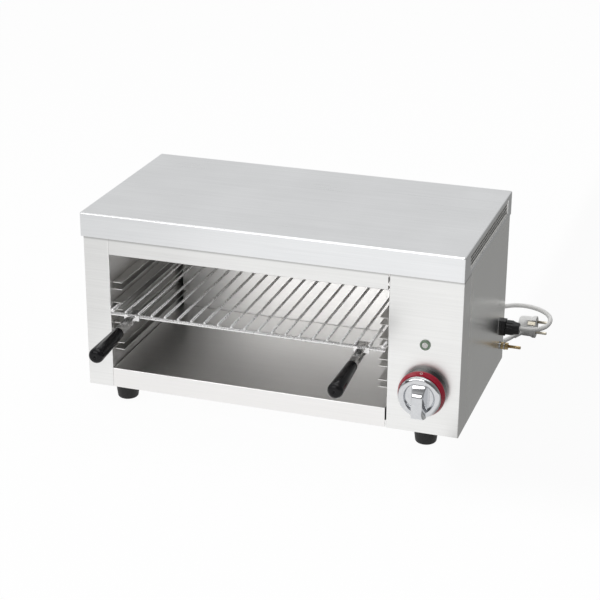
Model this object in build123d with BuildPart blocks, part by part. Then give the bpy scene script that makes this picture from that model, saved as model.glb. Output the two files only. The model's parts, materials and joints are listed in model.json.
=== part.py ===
from build123d import *
from math import cos, pi, radians, sin, sqrt, tan
import os

# Counter-top cheese melter: a folded sheet cabinet with a grilling chamber, a sliding wire rack and a control box.
# Millimetres. X runs to the right, Y to the back and Z up. The origin is the centre of the cabinet's underside,
# so the rubber feet reach below Z = 0 and the front stands at negative Y.

# Driving sizes

# Cabinet
cover_width = 600.0
cover_depth = 320.0
cabinet_height = 287.5
cover_lip = 38.0
cover_sheet = 1.2
cover_bend = 2.5
cover_seat = 0.8
front_reveal = 7.0
sheet = 1.0
bend = 1.6
seam = 0.2
post_width = 41.5
control_width = 111.1
return_depth = 8.0
control_side_depth = 47.0
rear_side_depth = 48.4
side_flange = 12.0
panel_gap = 0.4
rail_gap = 2.0

# Grilling chamber
rail_height = 32.0
header_drop = 28.5
header_foot = 15.0
header_top_flange = 12.0
tray_flange = 12.0
chamber_top_set = 25.5
back_wall_set = 33.6
back_wall_flange = 11.0
corner_gap = 7.0
reflector_flange = 8.0

# Side vents under the cover's lip
vent_front_set = 34.0
vent_rear_set = 27.0
vent_low_set = 6.5
vent_high_set = 7.0
vent_notch_set = 2.5
vent_margin = 7.5
vent_frame = 3.0
vent_frame_depth = 0.8
vent_columns = 30
vent_rows = 3
vent_web = 2.0

# Shelf guides
guide_levels = 4
guide_first_z = 62.0
guide_pitch = 33.5
guide_slot = 10.0
guide_reach = 17.0
guide_front_set = 10.0
guide_rear_set = 7.0

# Wire rack and its handles
rack_level = 2
rack_side_play = 6.7
rack_rod = 6.0
rack_wire = 4.0
rack_wires = 19
rack_front_set = 3.0
rack_rear_set = 13.0
rack_corner = 14.0
rack_clearance = 0.3
weld = 0.5
handle_pitches = 8.5
handle_tilt = 3.0
bracket_sheet = 1.5
bracket_width = 13.0
bracket_rise = 1.2
bracket_drop = 9.0
arm_length = 52.0
tongue_length = 18.0
head_width = 24.0
ear_low = 6.0
ear_high = 2.6
grip_length = 86.0
grip_rear_radius = 8.75
grip_front_radius = 11.75
grip_edge = 1.5
grip_dimple = 1.6
grip_screw_radius = 2.0
grip_screw_head = 3.4
grip_screw_depth = 22.0

# Heating elements
element_rod = 8.0
element_set = 18.0
element_bend = 30.0
element_left_set = 36.3
element_tail = 26.0
element_front_set = 95.0
element_rear_set = 63.0
terminal_radius = 2.0
terminal_length = 12.0
clip_width = 10.0
clip_left_set = 108.3
clip_right_set = 98.7

# Control
knob_set = 56.5
knob_z = 70.0
base_ring_radius = 35.0
base_ring_depth = 12.0
ring_bore = 23.0
dial_ring_radius = 36.0
dial_ring_front_radius = 33.5
dial_ring_depth = 10.0
knob_radius = 32.5
knob_rim = 5.5
knob_dish = 2.5
knob_gap = 0.6
knob_hub_radius = 9.0
knob_hub_depth = 18.0
knob_bar_width = 22.0
knob_bar_draft = 9.0
knob_bar_slope = 8.0
knob_bar_top = 20.0
knob_bar_height = 16.0
knob_bar_overhang = 0.5
spindle_radius = 3.0
spindle_flat = 1.6
spindle_fit = 0.05
spindle_reach = 16.0
regulator_size = 45.0
regulator_depth = 34.0
regulator_bush_radius = 5.0
regulator_screw_pitch = 28.0
lamp_z = 143.0
lamp_radius = 8.0
lamp_lens_radius = 4.8
lamp_barrel_radius = 6.0
lamp_barrel_length = 26.0

# Feet
foot_side_set = 56.0
foot_front_set = 32.0
foot_rear_set = 29.0
foot_height = 25.0
foot_top_radius = 19.0
foot_low_radius = 16.0
foot_edge = 4.0
foot_well_radius = 7.0
foot_well_depth = 12.0
foot_screw_radius = 2.5
foot_screw_head = 5.0

# Cable gland, earth bonding stud and terminal block
gland_set = 17.1
gland_z = 61.5
gland_thread_radius = 10.0
gland_base_flats = 25.0
gland_base_length = 7.0
gland_cap_radius = 11.8
gland_cap_length = 22.0
gland_cap_taper = 2.2
gland_nut_flats = 25.0
gland_nut_length = 5.0
stud_set = 25.6
stud_z = 32.0
stud_radius = 2.5
stud_core_radius = 2.1
stud_reach = 34.0
stud_inner = 14.0
stud_nut_flats = 10.0
stud_nut_length = 5.0
stud_washer_radius = 6.5
stud_washer_length = 1.5
terminal_set = 66.6

# Supply cord and plug
cord_diameter = 7.4
cord_socket = 8.0
cord_turns_gap = 1.8
cord_layers_gap = 0.6
coil_side_set = 155.0
coil_rear_set = 72.0
coil_outer_radius = 49.5
coil_start_angle = 90.0
coil_end_angle = 300.0
coil_whole_turns = 3
coil_segments = 15
plug_side_out = 10.0
plug_rear_set = 156.0
plug_radius = 19.0
plug_length = 30.0
plug_waist = 1.8
plug_roll = 41.0
spigot_angle = 236.0
spigot_slope = 16.0
spigot_length = 30.0
spigot_root_radius = 8.0
spigot_tip_radius = 5.2
pin_radius = 2.4
pin_length = 19.0
pin_pitch = 19.0
earth_width = 6.0

# Screws of the casing
screw_radius = 2.0
screw_head_radius = 4.0
screw_head_height = 2.4
screw_length = 7.0
cover_screw_set = 60.0
rear_screw_set = 30.0

# Places worked out from them

body_half = cover_width / 2 - cover_sheet - seam
body_front = -cover_depth / 2 + front_reveal
body_rear = cover_depth / 2 - cover_sheet - seam
body_top = cabinet_height - cover_sheet - cover_seat
inner_half = body_half - sheet
inner_front = body_front + sheet
post_x = -body_half + post_width
control_x = body_half - control_width
control_seam_y = body_front + control_side_depth
rear_seam_y = body_rear - rear_side_depth
rail_left = post_x + 0.3
rail_right = control_x - rail_gap
left_wall_x = post_x - sheet - seam
right_wall_x = control_x + sheet + seam
back_wall_y = body_rear - back_wall_set
chamber_height = cabinet_height - chamber_top_set
wall_front_y = inner_front + sheet + 2 * seam
reflector_front_y = body_front + return_depth + 0.4
wall_rear_y = back_wall_y + sheet + back_wall_flange
tray_lift = sheet + seam
fold_clear_z = tray_flange + 0.4
header_low_z = cabinet_height - cover_lip - header_drop
lip_low_z = cabinet_height - cover_lip
vent_front_y = -cover_depth / 2 + vent_front_set
vent_rear_y = cover_depth / 2 - vent_rear_set
vent_low_z = lip_low_z + vent_low_set
vent_high_z = cabinet_height - vent_high_set
vent_notch_z = lip_low_z + vent_notch_set
vent_notch_front = vent_front_y - vent_margin
vent_notch_rear = vent_rear_y + vent_margin
guide_front_y = body_front + guide_front_set
guide_rear_y = back_wall_y - guide_rear_set
rack_x = (left_wall_x + right_wall_x) / 2
rack_width = right_wall_x - left_wall_x - 2 * rack_side_play
rack_front_y = body_front - rack_front_set
rack_rear_y = back_wall_y - rack_rear_set
shelf_z = guide_first_z + rack_level * guide_pitch
rod_z = shelf_z + rack_clearance + rack_rod / 2
bar_z = rod_z - rack_rod + weld
wire_z = bar_z + rack_rod / 2 + rack_wire / 2 - weld
wire_pitch = rack_width / (rack_wires + 1)
handle_offset = handle_pitches * wire_pitch
reflector_z = chamber_height + seam
element_z = chamber_height - element_set
element_left_x = left_wall_x + element_left_set
element_front_y = body_front + element_front_set
element_rear_y = back_wall_y - element_rear_set
clip_xs = (left_wall_x + clip_left_set, right_wall_x - clip_right_set)
knob_x = control_x + knob_set
foot_x = cover_width / 2 - foot_side_set
foot_front_y = -cover_depth / 2 + foot_front_set
foot_rear_y = cover_depth / 2 - foot_rear_set
gland_y = body_rear - gland_set
stud_y = body_rear - stud_set
terminal_y = body_rear - terminal_set
gland_end_x = body_half + gland_base_length + gland_cap_length
cord_radius = cord_diameter / 2
rear_corner = Vector(cover_width / 2, cover_depth / 2, 0)
coil_x = rear_corner.X - coil_side_set
coil_y = rear_corner.Y + coil_rear_set
plug_x = rear_corner.X + plug_side_out
plug_y = rear_corner.Y + plug_rear_set
cover_screw_xs = [k * (cover_width / 2 - cover_screw_set) for k in (-1, 0, 1)]
rear_screw_xs = [k * (cover_width / 2 - rear_screw_set) / 3 for k in (-3, -1, 1, 3)]
floor_z = -foot_height
cord_floor_z = floor_z + cord_radius
coil_pitch = cord_diameter + cord_turns_gap
coil_layer_step = cord_diameter + cord_layers_gap

os.makedirs("parts", exist_ok=True)


def write(name, builder):
    """Label one finished piece and write it."""
    builder.part.label = name
    export_step(builder.part, f"parts/{name}.step")


def folded(*corners, thickness=sheet, radius=bend, inside=Side.LEFT):
    """Draw the cut end of a folded sheet from the corners of its outer line."""
    with BuildLine() as outline:
        outer = FilletPolyline(*corners, radius=radius)
        offset(outer, amount=thickness, side=inside)
    make_face(outline.edges())


def block(low, high, mode=Mode.ADD):
    """Fill the box between two corners."""
    centre = tuple((a + b) / 2 for a, b in zip(low, high))
    with Locations(centre):
        Box(*[b - a for a, b in zip(low, high)], mode=mode)


# Cabinet shells

with BuildPart() as top_cover:
    with BuildSketch(Plane.XY.offset(lip_low_z)):
        RectangleRounded(cover_width, cover_depth, cover_bend)
    extrude(amount=cover_lip)
    fillet(top_cover.faces().sort_by(Axis.Z)[-1].edges(), radius=cover_bend)
    offset(amount=-cover_sheet, openings=top_cover.faces().sort_by(Axis.Z)[0])
    with BuildSketch(Plane.YZ) as vent_window:
        with Locations(((vent_front_y + vent_rear_y) / 2, (vent_low_z + vent_high_z) / 2)):
            Rectangle(vent_rear_y - vent_front_y, vent_high_z - vent_low_z)
    extrude(amount=cover_width, both=True, mode=Mode.SUBTRACT)
    with Locations(*[(x, cover_depth / 2, lip_low_z + 9) for x in cover_screw_xs]):
        with Locations(Rotation(90, 0, 0)):
            Cylinder(screw_radius + 0.2, 6, mode=Mode.SUBTRACT)
write("top_cover", top_cover)


def vent_notch(side):
    """Cut the casing low where the cover's vent needs air."""
    x_low, x_high = sorted((side * (inner_half - side_flange), side * (body_half + 1)))
    block((x_low, vent_notch_front, vent_notch_z), (x_high, vent_notch_rear, cabinet_height), Mode.SUBTRACT)


with BuildPart() as left_casing:
    with BuildSketch():
        folded(
            (post_x, body_front + return_depth),
            (post_x, body_front),
            (-body_half, body_front),
            (-body_half, rear_seam_y - panel_gap / 2),
            (-body_half + side_flange, rear_seam_y - panel_gap / 2),
            inside=Side.RIGHT,
        )
    extrude(amount=body_top)
    vent_notch(-1)
    block((-inner_half, inner_front, 0), (post_x + 1, body_rear, fold_clear_z), Mode.SUBTRACT)
write("left_casing", left_casing)

with BuildPart() as control_casing:
    with BuildSketch():
        folded(
            (control_x, body_front + return_depth),
            (control_x, body_front),
            (body_half, body_front),
            (body_half, control_seam_y - panel_gap / 2),
            (body_half - side_flange, control_seam_y - panel_gap / 2),
        )
    extrude(amount=body_top)
    vent_notch(1)
    block((control_x - 1, inner_front, 0), (inner_half, body_rear, fold_clear_z), Mode.SUBTRACT)
    with BuildSketch(Plane.XZ.offset(-body_front)):
        with Locations((knob_x, knob_z)):
            Circle(regulator_bush_radius + seam)
            with Locations((-regulator_screw_pitch / 2, 0), (regulator_screw_pitch / 2, 0)):
                Circle(screw_radius + seam)
        with Locations((knob_x, lamp_z)):
            Circle(lamp_barrel_radius + seam)
    extrude(amount=3 * sheet, both=True, mode=Mode.SUBTRACT)
write("control_casing", control_casing)

with BuildPart() as right_side_panel:
    with BuildSketch():
        folded(
            (body_half - side_flange, control_seam_y + panel_gap / 2),
            (body_half, control_seam_y + panel_gap / 2),
            (body_half, rear_seam_y - panel_gap / 2),
            (body_half - side_flange, rear_seam_y - panel_gap / 2),
        )
    extrude(amount=body_top)
    vent_notch(1)
    block((control_x, inner_front, 0), (inner_half, body_rear, fold_clear_z), Mode.SUBTRACT)
write("right_side_panel", right_side_panel)

with BuildPart() as rear_casing:
    with BuildSketch():
        folded(
            (-body_half + side_flange, rear_seam_y + panel_gap / 2),
            (-body_half, rear_seam_y + panel_gap / 2),
            (-body_half, body_rear),
            (body_half, body_rear),
            (body_half, rear_seam_y + panel_gap / 2),
            (body_half - side_flange, rear_seam_y + panel_gap / 2),
            inside=Side.RIGHT,
        )
    extrude(amount=body_top)
    vent_notch(-1)
    vent_notch(1)
    block((-inner_half, inner_front, 0), (inner_half, body_rear - sheet, fold_clear_z), Mode.SUBTRACT)
    with BuildSketch(Plane.YZ.offset(body_half)):
        with Locations((gland_y, gland_z)):
            Circle(gland_thread_radius + seam)
        with Locations((stud_y, stud_z)):
            Circle(stud_radius + seam)
    extrude(amount=3 * sheet, both=True, mode=Mode.SUBTRACT)
    with BuildSketch(Plane.XZ.offset(-body_rear)):
        with Locations(*[(x, tray_flange / 2 + 1) for x in rear_screw_xs]):
            Circle(screw_radius + seam)
        with Locations(*[(x, lip_low_z + 9) for x in cover_screw_xs]):
            Circle(screw_radius + seam)
    extrude(amount=3 * sheet, both=True, mode=Mode.SUBTRACT)
write("rear_casing", rear_casing)

with BuildPart() as base_tray:
    tray_half = inner_half - seam
    block((-tray_half, inner_front + seam, 0), (tray_half, body_rear - sheet - seam, tray_flange))
    fillet(base_tray.faces().sort_by(Axis.Z)[0].edges(), radius=bend)
    offset(amount=-sheet, openings=base_tray.faces().sort_by(Axis.Z)[-1])
    with Locations(*[(x, y, 0) for x in (-foot_x, foot_x) for y in (foot_front_y, foot_rear_y)]):
        Cylinder(foot_screw_radius + seam, 4 * sheet, mode=Mode.SUBTRACT)
    with BuildSketch(Plane.XZ.offset(-body_rear)):
        with Locations(*[(x, tray_flange / 2 + 1) for x in rear_screw_xs]):
            Circle(screw_radius + 0.1)
    extrude(amount=5 * sheet, both=True, mode=Mode.SUBTRACT)
write("base_tray", base_tray)

with BuildPart() as header_panel:
    with BuildSketch(Plane.YZ.offset(rail_left)):
        folded(
            (body_front + header_top_flange, body_top),
            (body_front, body_top),
            (body_front, header_low_z),
            (body_front + header_foot, header_low_z),
        )
    extrude(amount=rail_right - rail_left)
write("header_panel", header_panel)

with BuildPart() as floor_pan:
    with BuildSketch(Plane.YZ.offset(rail_left)):
        folded(
            (body_front, 0.3),
            (body_front, rail_height),
            (back_wall_y - seam, rail_height),
            (back_wall_y - seam, tray_lift),
            inside=Side.RIGHT,
        )
    extrude(amount=rail_right - rail_left)
write("floor_pan", floor_pan)

# Grilling chamber

with BuildPart() as cavity_left_wall:
    block((left_wall_x - sheet, wall_front_y, tray_lift), (left_wall_x, wall_rear_y, chamber_height))
write("cavity_left_wall", cavity_left_wall)

element_legs = [y + leg * element_bend for y in (element_front_y, element_rear_y) for leg in (-1, 1)]

with BuildPart() as cavity_right_wall:
    block((right_wall_x, wall_front_y, tray_lift), (right_wall_x + sheet, wall_rear_y, chamber_height))
    with BuildSketch(Plane.YZ.offset(right_wall_x)):
        with Locations(*[(y, element_z) for y in element_legs]):
            Circle(element_rod / 2 + seam)
    extrude(amount=3 * sheet, both=True, mode=Mode.SUBTRACT)
write("cavity_right_wall", cavity_right_wall)

with BuildPart() as cavity_back_wall:
    with BuildSketch(Plane.XY.offset(tray_lift)):
        folded(
            (left_wall_x + corner_gap, back_wall_y + sheet + back_wall_flange),
            (left_wall_x + corner_gap, back_wall_y),
            (right_wall_x - seam, back_wall_y),
            (right_wall_x - seam, back_wall_y + sheet + back_wall_flange),
        )
    extrude(amount=chamber_height - tray_lift)
write("cavity_back_wall", cavity_back_wall)

with BuildPart() as heat_reflector:
    with BuildSketch(Plane.XZ.offset(-reflector_front_y)):
        folded(
            (left_wall_x - 2 * sheet - seam, reflector_z - reflector_flange),
            (left_wall_x - 2 * sheet - seam, reflector_z + sheet),
            (right_wall_x + 2 * sheet + seam, reflector_z + sheet),
            (right_wall_x + 2 * sheet + seam, reflector_z - reflector_flange),
            inside=Side.RIGHT,
        )
    extrude(amount=-(wall_rear_y - reflector_front_y))
write("heat_reflector", heat_reflector)

for side, wall_x, into in (("left", left_wall_x, 1), ("right", right_wall_x, -1)):
    for level in range(guide_levels):
        shelf = guide_first_z + level * guide_pitch
        with BuildPart() as guide:
            with BuildSketch(Plane.XZ.offset(-guide_front_y)):
                folded(
                    (wall_x + into * guide_reach, shelf - sheet),
                    (wall_x, shelf - sheet),
                    (wall_x, shelf + guide_slot + sheet),
                    (wall_x + into * guide_reach, shelf + guide_slot + sheet),
                    inside=Side.RIGHT if into > 0 else Side.LEFT,
                )
            extrude(amount=-(guide_rear_y - guide_front_y))
        write(f"guide_{side}_{level + 1}", guide)

for place, centre_y in (("front", element_front_y), ("rear", element_rear_y)):
    with BuildPart() as heating_element:
        start_x = right_wall_x + sheet + element_tail
        turn_x = element_left_x + element_bend
        with BuildLine() as hairpin:
            Line((start_x, centre_y - element_bend, element_z), (turn_x, centre_y - element_bend, element_z))
            ThreePointArc(
                (turn_x, centre_y - element_bend, element_z),
                (element_left_x, centre_y, element_z),
                (turn_x, centre_y + element_bend, element_z),
            )
            Line((turn_x, centre_y + element_bend, element_z), (start_x, centre_y + element_bend, element_z))
        with BuildSketch(Plane(origin=hairpin.line @ 0, z_dir=hairpin.line % 0)):
            Circle(element_rod / 2)
        sweep(path=hairpin.line)
        for leg_y in (centre_y - element_bend, centre_y + element_bend):
            with BuildSketch(Plane.YZ.offset(start_x)):
                with Locations((leg_y, element_z)):
                    Circle(terminal_radius)
            extrude(amount=terminal_length)
    write(f"heating_element_{place}", heating_element)

with BuildPart() as element_clips:
    clip_inside = element_rod / 2 + seam
    for clip_x in clip_xs:
        for leg_y in element_legs:
            with BuildSketch(Plane.YZ.offset(clip_x)):
                folded(
                    (leg_y - clip_inside - sheet, reflector_z - seam),
                    (leg_y - clip_inside - sheet, element_z - clip_inside - sheet),
                    (leg_y + clip_inside + sheet, element_z - clip_inside - sheet),
                    (leg_y + clip_inside + sheet, reflector_z - seam),
                )
            extrude(amount=clip_width)
write("element_clips", element_clips)

# Wire rack, slid along the guides

side_rod_x = rack_width / 2

with BuildPart() as wire_rack:
    with BuildLine() as frame_rod:
        FilletPolyline(
            (rack_x - side_rod_x, rack_front_y - rack_rod / 2, rod_z),
            (rack_x - side_rod_x, rack_rear_y, rod_z),
            (rack_x + side_rod_x, rack_rear_y, rod_z),
            (rack_x + side_rod_x, rack_front_y - rack_rod / 2, rod_z),
            radius=rack_corner,
        )
    with BuildSketch(Plane(origin=frame_rod.line @ 0, z_dir=frame_rod.line % 0)):
        Circle(rack_rod / 2)
    sweep(path=frame_rod.line)
    with BuildSketch(Plane.YZ.offset(rack_x - side_rod_x - rack_rod / 2)):
        with Locations((rack_front_y, bar_z)):
            Circle(rack_rod / 2)
    extrude(amount=rack_width + rack_rod)
    with BuildSketch(Plane.XZ.offset(-(rack_front_y - rack_rod / 2 + 1))):
        for wire in range(rack_wires):
            with Locations((rack_x - side_rod_x + (wire + 1) * wire_pitch, wire_z)):
                Circle(rack_wire / 2)
    extrude(amount=-(rack_rear_y - rack_front_y + rack_rod / 2 - 1))
write("wire_rack", wire_rack)

arm_plane = Plane(origin=(0, rack_front_y, bar_z), x_dir=(1, 0, 0), z_dir=(0, -sin(radians(handle_tilt)), cos(radians(handle_tilt))))
arm_axis_z = (bracket_rise - bracket_drop) / 2
arm_end_y = -arm_length - bracket_sheet
grip_profile_y = arm_end_y - 0.1

for side, direction in (("left", -1), ("right", 1)):
    handle_x = rack_x + direction * handle_offset
    half = bracket_width / 2
    local = Plane(origin=arm_plane.from_local_coords((handle_x, 0, 0)), x_dir=arm_plane.x_dir, z_dir=arm_plane.z_dir)

    with BuildPart() as handle_bracket:
        with BuildSketch(Plane(origin=local.from_local_coords((0, -arm_length, 0)), x_dir=local.x_dir, z_dir=local.y_dir)):
            folded(
                (-half, -bracket_rise),
                (-half, bracket_drop),
                (half, bracket_drop),
                (half, -bracket_rise),
                thickness=bracket_sheet,
                radius=bracket_sheet + 0.5,
                inside=Side.RIGHT,
            )
        extrude(amount=arm_length + tongue_length)
        with BuildSketch(Plane(origin=local.from_local_coords((0, -arm_length, 0)), x_dir=local.x_dir, z_dir=-local.y_dir)):
            with Locations((0, arm_axis_z)):
                Rectangle(bracket_width, bracket_rise + bracket_drop)
                Circle(grip_screw_radius + 0.1, mode=Mode.SUBTRACT)
        extrude(amount=bracket_sheet)
        with BuildSketch(Plane(origin=local.from_local_coords((0, -rack_rod / 2 - 0.1, 0)), x_dir=local.x_dir, z_dir=-local.y_dir)):
            for ear in (-1, 1):
                with Locations((ear * (half + head_width / 2) / 2, (ear_high - ear_low) / 2)):
                    Rectangle(head_width / 2 - half + 0.4, ear_low + ear_high)
        extrude(amount=bracket_sheet)
        with BuildSketch(Plane(origin=local.from_local_coords((0, 0, bracket_rise)), x_dir=local.x_dir, z_dir=-local.z_dir)):
            with Locations((0, -(tongue_length + rack_rod / 2 + 1.5) / 2)):
                Rectangle(head_width, tongue_length - rack_rod / 2 - 1.5)
        extrude(amount=bracket_sheet)
        with BuildSketch(Plane(origin=local.origin, x_dir=local.y_dir, z_dir=local.x_dir)):
            Circle(rack_rod / 2 + 0.1)
            with Locations((0, rack_rod)):
                Rectangle(rack_rod + 0.2, 2 * rack_rod)
        extrude(amount=head_width, both=True, mode=Mode.SUBTRACT)
    write(f"handle_bracket_{side}", handle_bracket)

    with BuildPart() as handle_grip:
        with BuildSketch(Plane(origin=local.from_local_coords((0, grip_profile_y, arm_axis_z)), x_dir=local.x_dir, z_dir=local.z_dir)):
            with BuildLine():
                dome_y = -grip_length + grip_front_radius * 0.55
                Line((0, 0), (grip_rear_radius - grip_edge, 0))
                RadiusArc((grip_rear_radius - grip_edge, 0), (grip_rear_radius, -grip_edge), grip_edge)
                Line((grip_rear_radius, -grip_edge), (grip_front_radius, dome_y))
                ThreePointArc(
                    (grip_front_radius, dome_y),
                    (grip_front_radius * 0.74, -grip_length + grip_front_radius * 0.17),
                    (grip_dimple, -grip_length),
                )
                Line((grip_dimple, -grip_length), (grip_dimple, -grip_length + 1.2))
                Line((grip_dimple, -grip_length + 1.2), (0, -grip_length + 1.2))
                Line((0, -grip_length + 1.2), (0, 0))
            make_face()
        revolve(axis=Axis(local.from_local_coords((0, grip_profile_y, arm_axis_z)), local.y_dir))
        with BuildSketch(Plane(origin=local.from_local_coords((0, grip_profile_y, arm_axis_z)), x_dir=local.x_dir, z_dir=-local.y_dir)):
            Circle(grip_screw_radius + 0.1)
        extrude(amount=grip_screw_depth + 1, mode=Mode.SUBTRACT)
    write(f"handle_grip_{side}", handle_grip)

with BuildPart() as grip_screws:
    for direction in (-1, 1):
        screw_origin = arm_plane.from_local_coords((rack_x + direction * handle_offset, -arm_length + 0.1, arm_axis_z))
        with BuildSketch(Plane(origin=screw_origin, x_dir=arm_plane.x_dir, z_dir=-arm_plane.y_dir)):
            Circle(grip_screw_radius)
        extrude(amount=bracket_sheet + grip_screw_depth)
        with BuildSketch(Plane(origin=screw_origin, x_dir=arm_plane.x_dir, z_dir=arm_plane.y_dir)):
            Circle(grip_screw_head)
        extrude(amount=3, taper=20)
write("grip_screws", grip_screws)

# Control panel

panel_out = Plane(origin=(knob_x, body_front, knob_z), x_dir=(1, 0, 0), z_dir=(0, -1, 0))
knob_axis = Axis((knob_x, 0, knob_z), (0, -1, 0))
dial_start = seam + base_ring_depth + seam
knob_start = dial_start + dial_ring_depth + knob_gap


def turned(*outline):
    """Revolve an outline of (radius, distance out from the panel) about the knob's axis."""
    with BuildSketch(Plane(origin=(knob_x, body_front, knob_z), x_dir=(1, 0, 0), z_dir=(0, 0, 1))) as profile:
        with BuildLine():
            Polyline(*[(radius, -out) for radius, out in outline], close=True)
        make_face()
    revolve(profile.sketch, axis=knob_axis)


with BuildPart() as knob_base_ring:
    turned(
        (ring_bore, seam),
        (base_ring_radius, seam),
        (base_ring_radius, seam + base_ring_depth),
        (ring_bore, seam + base_ring_depth),
    )
    fillet(knob_base_ring.edges().filter_by(GeomType.CIRCLE).group_by(SortBy.RADIUS)[-1].sort_by(Axis.Y)[0], radius=1)
write("knob_base_ring", knob_base_ring)

with BuildPart() as dial_ring:
    turned(
        (ring_bore - 2, dial_start),
        (dial_ring_radius, dial_start),
        (dial_ring_radius, dial_start + 2),
        (dial_ring_front_radius, dial_start + dial_ring_depth),
        (ring_bore - 2, dial_start + dial_ring_depth),
    )
write("dial_ring", dial_ring)

with BuildPart() as knob:
    knob_face = knob_start + knob_rim
    turned(
        (0, knob_start - knob_hub_depth),
        (knob_hub_radius, knob_start - knob_hub_depth),
        (knob_hub_radius, knob_start),
        (knob_radius - 1, knob_start),
        (knob_radius, knob_start + 1),
        (knob_radius, knob_face - 2.2),
        (knob_radius - 2.6, knob_face),
        (knob_radius - 5.4, knob_face - 0.4),
        (knob_radius - 9, knob_face - knob_dish),
        (0, knob_face - knob_dish),
    )
    bar_half = knob_radius + knob_bar_overhang
    with BuildSketch(panel_out.offset(knob_face - knob_dish - 0.5)):
        with BuildLine():
            FilletPolyline(
                (-knob_bar_width / 2, -bar_half),
                (-knob_bar_width / 2, bar_half),
                (knob_bar_width / 2, bar_half),
                (knob_bar_width / 2, -bar_half),
                radius=knob_bar_width * 0.25,
                close=True,
            )
        make_face()
    extrude(amount=knob_bar_height, taper=knob_bar_draft)
    fillet(knob.faces().sort_by(Axis.Y)[0].edges(), radius=1.2)
    with BuildSketch(Plane(origin=(knob_x, body_front, knob_z), x_dir=(0, 0, 1), z_dir=(1, 0, 0))):
        with BuildLine():
            Polyline(
                (knob_bar_slope, knob_face - knob_dish + knob_bar_height),
                (knob_bar_top, knob_face + 0.5),
                (bar_half + 1, knob_face + 0.5),
                (bar_half + 1, knob_face - knob_dish + knob_bar_height),
                close=True,
            )
        make_face()
    extrude(amount=knob_bar_width, both=True, mode=Mode.SUBTRACT)
    bore_start = knob_start - knob_hub_depth
    with BuildSketch(panel_out.offset(bore_start)):
        Circle(spindle_radius + 0.1)
        with Locations((0, spindle_radius + 0.1 - spindle_flat / 2 + 0.1)):
            Rectangle(2 * spindle_radius + 1, spindle_flat, mode=Mode.SUBTRACT)
    extrude(amount=spindle_reach, mode=Mode.SUBTRACT)
write("knob", knob)

regulator_front = -(sheet + seam)
with BuildPart() as knob_spindle:
    with BuildSketch(panel_out.offset(regulator_front - regulator_depth + 6)):
        Circle(spindle_radius)
    extrude(amount=bore_start - (regulator_front - regulator_depth + 6) - 0.5)
    with BuildSketch(panel_out.offset(bore_start - 0.5)):
        Circle(spindle_radius)
        with Locations((0, spindle_radius + 0.1 - spindle_flat / 2 + 0.1)):
            Rectangle(2 * spindle_radius + 1, spindle_flat + 0.1, mode=Mode.SUBTRACT)
    extrude(amount=spindle_reach)
write("knob_spindle", knob_spindle)

with BuildPart() as energy_regulator:
    with BuildSketch(panel_out.offset(regulator_front - regulator_depth)):
        RectangleRounded(regulator_size, regulator_size, 3)
    extrude(amount=regulator_depth)
    with BuildSketch(panel_out.offset(regulator_front)):
        Circle(regulator_bush_radius)
    extrude(amount=sheet + seam + 4)
    with BuildSketch(panel_out.offset(regulator_front - regulator_depth + 5)):
        Circle(spindle_radius + spindle_fit)
    extrude(amount=regulator_depth + 12, mode=Mode.SUBTRACT)
    with BuildSketch(panel_out.offset(regulator_front - 9)):
        with Locations((-regulator_screw_pitch / 2, 0), (regulator_screw_pitch / 2, 0)):
            Circle(screw_radius + 0.1)
    extrude(amount=10, mode=Mode.SUBTRACT)
    with BuildSketch(panel_out.offset(regulator_front - regulator_depth - 8)):
        with GridLocations(14, 24, 3, 2):
            Rectangle(0.8, 6.3)
    extrude(amount=8.5)
write("energy_regulator", energy_regulator)

with BuildPart() as regulator_screws:
    with BuildSketch(panel_out.offset(seam)):
        with Locations((-regulator_screw_pitch / 2, 0), (regulator_screw_pitch / 2, 0)):
            Circle(screw_head_radius)
    extrude(amount=screw_head_height, taper=12)
    with BuildSketch(panel_out.offset(seam)):
        with Locations((-regulator_screw_pitch / 2, 0), (regulator_screw_pitch / 2, 0)):
            Circle(screw_radius)
    extrude(amount=-(sheet + seam + 7))
write("regulator_screws", regulator_screws)

lamp_out = Plane(origin=(knob_x, body_front, lamp_z), x_dir=(1, 0, 0), z_dir=(0, -1, 0))
with BuildPart() as lamp_bezel:
    with BuildSketch(lamp_out.offset(seam / 2)):
        Circle(lamp_radius)
    extrude(amount=2.6)
    fillet(lamp_bezel.faces().sort_by(Axis.Y)[0].edges(), radius=1.2)
    with BuildSketch(lamp_out.offset(seam)):
        Circle(lamp_barrel_radius)
    extrude(amount=-lamp_barrel_length)
    with BuildSketch(lamp_out.offset(-8)):
        Circle(lamp_lens_radius + 0.1)
    extrude(amount=20, mode=Mode.SUBTRACT)
write("lamp_bezel", lamp_bezel)

with BuildPart() as lamp_lens:
    with BuildSketch(lamp_out.offset(-7.9)):
        Circle(lamp_lens_radius)
    extrude(amount=7.9 + 3.6)
    fillet(lamp_lens.faces().sort_by(Axis.Y)[0].edges(), radius=2.2)
write("lamp_lens", lamp_lens)

# Vents, feet and screws

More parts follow.
